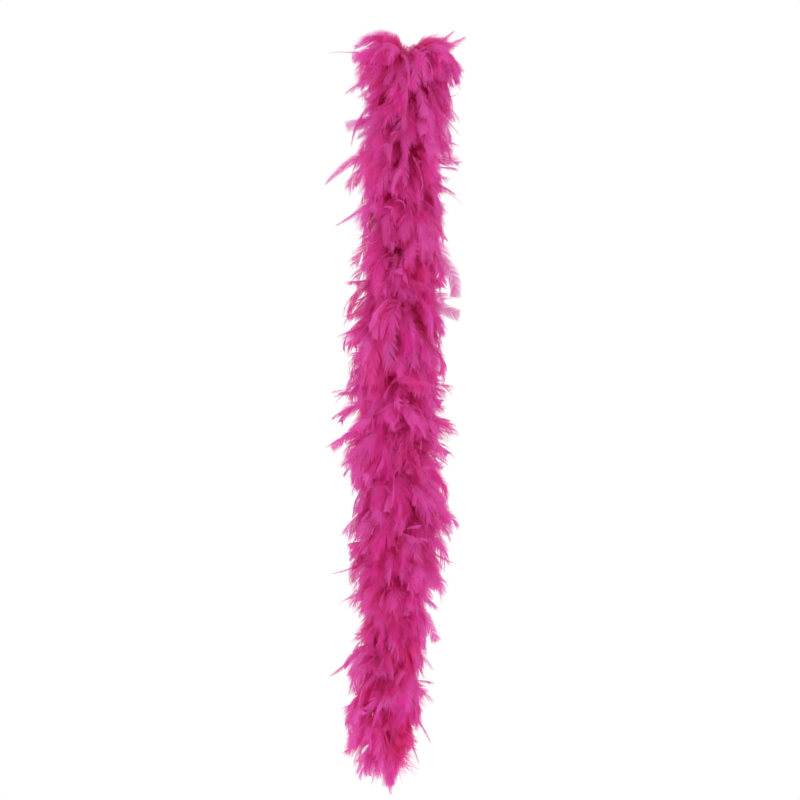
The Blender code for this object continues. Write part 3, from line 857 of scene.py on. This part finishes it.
def dress():
    """Shares the coat, the crown and the strays out over the links, and builds their pieces."""
    rng = np.random.default_rng(11)
    rows = (*whole_coat(rng), crown(rng))
    heights, lines, kinds, tints = (np.concatenate([row[part] for row in rows]) for part in range(4))
    in_crown = np.arange(len(heights)) >= len(heights) - CROWN_FEATHERS
    links = np.array([link_of(height) for height in heights])
    batches = [(f"link_{link + 1:02d}", link, (links == link) & ~in_crown) for link in range(len(BODIES))]
    batches.append(("crown", 0, in_crown))
    stray_lines = bezier_lines([row[3:] for row in STRAYS])
    stray_links = np.array([link_of(row[3]) for row in STRAYS])
    for label, link, chosen in batches:
        groups = []
        for name in KINDS:
            own = chosen & (kinds == name)
            count = int(own.sum())
            if count:
                width = rng.uniform(0.80, 1.30, count)
                roll = rng.uniform(-1.1, 1.1, count)
                twist = rng.normal(0, 0.7, count)
                groups.append((name, Quills(lines[own], roll, twist, tints[own], width)))
            if label == "crown":
                continue
            loose = [k for k, row in enumerate(STRAYS) if row[0] == name and stray_links[k] == link]
            if loose:
                width = np.array([STRAYS[k][1] for k in loose])
                roll = np.radians([STRAYS[k][2] for k in loose])
                # Sheer strays get tints over 1, which paint them paler for the white light showing through
                # them.
                tint = rng.uniform(0.2, 1, len(loose)) + (0.8 if name == "sheer" else 0)
                groups.append((name, Quills(stray_lines[loose], roll, np.zeros(len(loose)), tint, width)))
        dress_link(label, link, groups, 0 if label == "crown" else CORE_FLUFF, rng)


dress()


# ---- Cord, thread, loop and knot ------------------------------------------------------------------------


def frames_along(path):
    """Two directions square to the path at each point, which don't twist along it."""
    ahead = unit(np.gradient(path, axis=0))
    start = np.array((0.0, 1.0, 0.0)) if abs(ahead[0, 1]) < 0.9 else np.array((1.0, 0.0, 0.0))
    first = []
    side = unit(start - ahead[0] * (start @ ahead[0]))
    for way in ahead:
        side = unit(side - way * (side @ way))
        first.append(side)
    first = np.array(first)
    return first, np.cross(ahead, first)


def add_tube(piece, path, radii, sides, tint=0.5):
    """A round tube along a path. radii is one number, or one for each point."""
    first, second = frames_along(path)
    angle = np.arange(sides) * 2 * math.pi / sides
    ring = np.cos(angle)[None, :, None] * first[:, None] + np.sin(angle)[None, :, None] * second[:, None]
    radii = np.broadcast_to(radii, (len(path),))
    grid = (path[:, None] + ring * radii[:, None, None])[None]
    piece.add(grid, True, np.array((tint, 0.5, 0.5)))


def add_twisted(piece, path, radius, plies, pitch, sides=7, phase=0.0, ends=True):
    """A string of several plies laid round each other along a path."""
    first, second = frames_along(path)
    length = np.concatenate(((0,), np.cumsum(np.linalg.norm(np.diff(path, axis=0), axis=1))))
    ply = radius / (1 + 1 / math.sin(math.pi / plies)) if plies > 2 else radius / 2
    away = radius - ply
    for number in range(plies):
        turn = phase + 2 * math.pi * (length / pitch + number / plies)
        centre = path + away * (np.cos(turn)[:, None] * first + np.sin(turn)[:, None] * second)
        radii = np.full(len(path), ply * 1.06)
        if ends:
            radii[0] = radii[-1] = ply * 0.15
        add_tube(piece, centre, radii, sides, tint=number / plies)


def straight(top, bottom, step):
    """Points down the middle of the cord, about a step apart."""
    count = max(2, int(round((top - bottom) / step)) + 1)
    heights = np.linspace(top, bottom, count)
    return np.stack((np.zeros(count), np.zeros(count), heights), -1)


def add_cord_and_thread():
    """Each stretch runs from the middle of one link to the middle of the next. The first and the last ride
    on their links, and the others keep their place, unparented.
    """
    middles = [hinge + LINK / 2 for hinge in HINGES] + [HINGES[-1] - LINK / 2]
    tops = [CORD_TOP] + middles
    bottoms = middles + [CORD_END]
    for number, (top, bottom) in enumerate(zip(tops, bottoms)):
        cord, thread = Piece(), Piece()
        phase = 2 * math.pi * (CORD_TOP - top) / CORD_PITCH
        line = straight(top, bottom, CORD_STEP)
        add_twisted(cord, line, CORD_RADIUS, 3, CORD_PITCH, 6, phase, False)
        wound_to = max(bottom, CORD_END + BARE_TAIL)
        line = straight(top, wound_to, THREAD_STEP)
        turn = 2 * math.pi * (CORD_TOP - line[:, 2]) / THREAD_PITCH
        line = line + np.stack((np.cos(turn), np.sin(turn), np.zeros(len(turn))), -1) * WOUND_RADIUS
        add_tube(thread, line, THREAD_RADIUS, 4)
        above, below = max(number - 1, 0), min(number, len(BODIES) - 1)
        label = f"{number + 1:02d}"
        cord = cord.build(f"twisted_cord_{label}", CORD, "core_cord")
        thread = thread.build(f"wound_thread_{label}", THREAD, "binding_thread")
        for link in sorted({above, below}):
            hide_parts(f"core_cord_{link + 1:02d}")
            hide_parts(f"binding_thread_{link + 1:02d}")
        for piece in (cord, thread):
            if 0 < number < len(BODIES):
                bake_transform(piece)
            else:
                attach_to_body(piece, BODIES[below if number else 0])


def add_loop():
    """The string loop at the top end: a bight over the hook and two legs into the whipping."""
    low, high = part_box("hang_loop")
    radius = (high.x - low.x) / 2 - LOOP_STRING
    centre = high.z - LOOP_STRING - radius
    angles = np.radians(np.linspace(-35, 215, 56))
    bow = np.stack((radius * np.cos(angles), np.zeros(56), centre + radius * np.sin(angles)), -1)
    start = bow[0]
    leg = []
    for share in np.linspace(0, 1, 16)[1:]:
        eased = share * share * (3 - 2 * share)
        leg.append((blend_values(start[0], LOOP_FOOT, eased), 0, blend_values(start[2], low.z, share)))
    leg = np.array(leg)
    other = leg * np.array((-1, 1, 1))
    path = np.concatenate((leg[::-1], bow, other))
    piece = Piece()
    add_twisted(piece, path, LOOP_STRING, 2, LOOP_PITCH)
    made = piece.build("string_loop", CORD, "core_cord")
    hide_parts("hang_loop")
    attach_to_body(made, BODIES[0])


def add_whipping():
    """Thread served in close turns over the loop's legs."""
    low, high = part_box("top_whipping")
    strand = WHIPPING_THREAD
    radius = (high.x - low.x) / 2 - strand
    turns = int((high.z - low.z - 2 * strand) / (2 * strand))
    steps = np.linspace(0, 1, turns * 16)
    turn = 2 * math.pi * turns * steps
    heights = blend_values(high.z - strand, low.z + strand, steps)
    path = np.stack((radius * np.cos(turn), radius * np.sin(turn), heights), -1)
    piece = Piece()
    add_tube(piece, path, strand, 6)
    made = piece.build("served_whipping", THREAD, "binding_thread")
    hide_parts("top_whipping")
    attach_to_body(made, BODIES[0])


def add_knot():
    """An overhand knot drawn tight in the cord's tail, with short frayed ends under it."""
    low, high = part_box("end_knot")
    centre = np.array((0, 0, (low.z + high.z) / 2))
    size = (high.x - low.x) / 2
    turn = np.linspace(0, 2 * math.pi, 90)
    knot = np.stack((
        np.sin(turn) + 2 * np.sin(2 * turn), np.cos(turn) - 2 * np.cos(2 * turn), -1.2 * np.sin(3 * turn)
    ), -1)
    piece = Piece()
    strand = size * 0.34
    add_twisted(piece, centre + knot * (size - strand) / 3.0, strand, 3, KNOT_PITCH, 6)
    rng = np.random.default_rng(5)
    share = np.linspace(0, 1, 7)[:, None]
    for number in range(FRAYED_ENDS):
        heading = number * 2.4
        out = np.array((math.cos(heading), math.sin(heading), 0))
        start = out * size * 0.25 + (0, 0, low.z + 0.001)
        end = start + (0, 0, -rng.uniform(*FRAYED_LENGTHS))
        path = start + (end - start) * share + out * FRAYED_SPREAD * share**2
        add_tube(piece, path, np.linspace(0.0005, 0.00015, 7), 5)
    made = piece.build("overhand_knot", CORD, "core_cord")
    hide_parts("end_knot")
    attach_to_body(made, BODIES[-1])


add_cord_and_thread()
add_loop()
add_whipping()
add_knot()


# ---- Stage and light ------------------------------------------------------------------------------------


FLOOR_RADIUS = 3.2
FLOOR_BELOW = 0.75  # the lowest feather tip of the CAD
FLOOR_GLOW = 0.24  # brings the pale floor close to the white round it
WORLD_SEEN = 1.0  # strength of the white that the camera sees
WORLD_LIGHT = 0.78  # and of the one that lights the boa
LIT_POINT = (0, 0, -0.85)
LIGHTS = (  # name, place, width across and power
    ("front", (-0.6, -5.5, -0.2), 3.2, 17),
    ("left", (-4.6, -0.8, 0.4), 2.6, 20),
    ("right", (4.6, -0.8, 0.0), 2.6, 20),
    ("back", (0.8, 5.2, 0.4), 3.2, 30),
)


def add_floor():
    """A pale matt floor, well under the hanging boa."""
    place = (0, 0, CAD_BOX[0][2] - FLOOR_BELOW)
    bpy.ops.mesh.primitive_circle_add(
        vertices=96, radius=FLOOR_RADIUS, fill_type="NGON", location=place
    )
    floor = bpy.context.object
    floor.name = "floor"
    material, tree, output, shader = new_material("pale_floor")
    speckle = ranged(tree, noise(tree, 40, 3), 0.3, 0.7, 0, 1)
    colour = mixed_colour(tree, speckle, (0.90, 0.90, 0.90, 1), (0.93, 0.93, 0.93, 1))
    tree.links.new(colour, shader.inputs["Base Color"])
    shader.inputs["Roughness"].default_value = 0.9
    shader.inputs["Emission Color"].default_value = (1, 1, 1, 1)
    shader.inputs["Emission Strength"].default_value = FLOOR_GLOW
    tree.links.new(shader.outputs[0], output.inputs["Surface"])
    floor.data.materials.append(material)


def add_area_light(name, place, size, power):
    """A round lamp turned to the middle of the boa."""
    data = bpy.data.lights.new(name, "AREA")
    data.shape = "DISK"
    data.size = size
    data.energy = power
    light = bpy.data.objects.new(name, data)
    bpy.context.scene.collection.objects.link(light)
    light.location = place
    light.rotation_euler = (Vector(LIT_POINT) - Vector(place)).to_track_quat("-Z", "Y").to_euler()


def add_studio():
    """White all round, and four lamps."""
    scene = bpy.context.scene
    world = bpy.data.worlds.new("studio")
    world.use_nodes = True
    tree = world.node_tree
    background = tree.nodes["Background"]
    background.inputs["Color"].default_value = (1.0, 1.0, 1.0, 1)
    seen = tree.nodes.new("ShaderNodeLightPath").outputs["Is Camera Ray"]
    strength = ranged(tree, seen, 0, 1, WORLD_LIGHT, WORLD_SEEN)
    tree.links.new(strength, background.inputs["Strength"])
    scene.world = world
    for name, place, size, power in LIGHTS:
        add_area_light(name, place, size, power)
    scene.view_settings.view_transform = "Standard"


add_floor()
add_studio()
